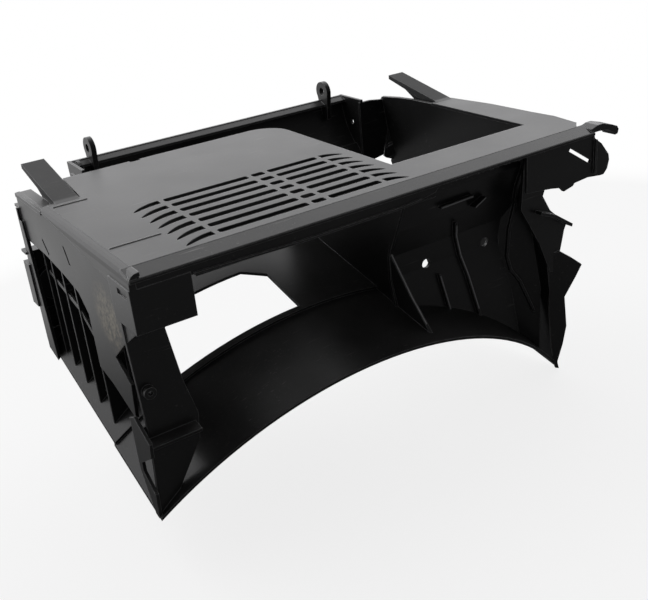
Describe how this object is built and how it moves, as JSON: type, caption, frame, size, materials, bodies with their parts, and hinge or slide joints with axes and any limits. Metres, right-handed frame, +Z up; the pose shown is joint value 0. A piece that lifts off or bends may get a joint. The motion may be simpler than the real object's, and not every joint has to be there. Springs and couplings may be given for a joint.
{
  "type": "control panel cover",
  "caption": "One-piece moulded housing cover with a flat slotted top plate, an open well, an arched lower sheet and hinge ears along its back edge.",
  "frame": {"origin": "centre of the bore in the left ear at the back edge", "axes": "+X along the ears' common axis, to the right seen from the front bar; +Y towards the back; +Z up, out of the level top plate"},
  "size_m": [0.4315, 0.2872, 0.2539],
  "materials": {
    "black_plastic": "fine grain, satin"
  },
  "bodies": {
    "root": {"panel_cover": "black_plastic"}
  },
  "joints": []
}
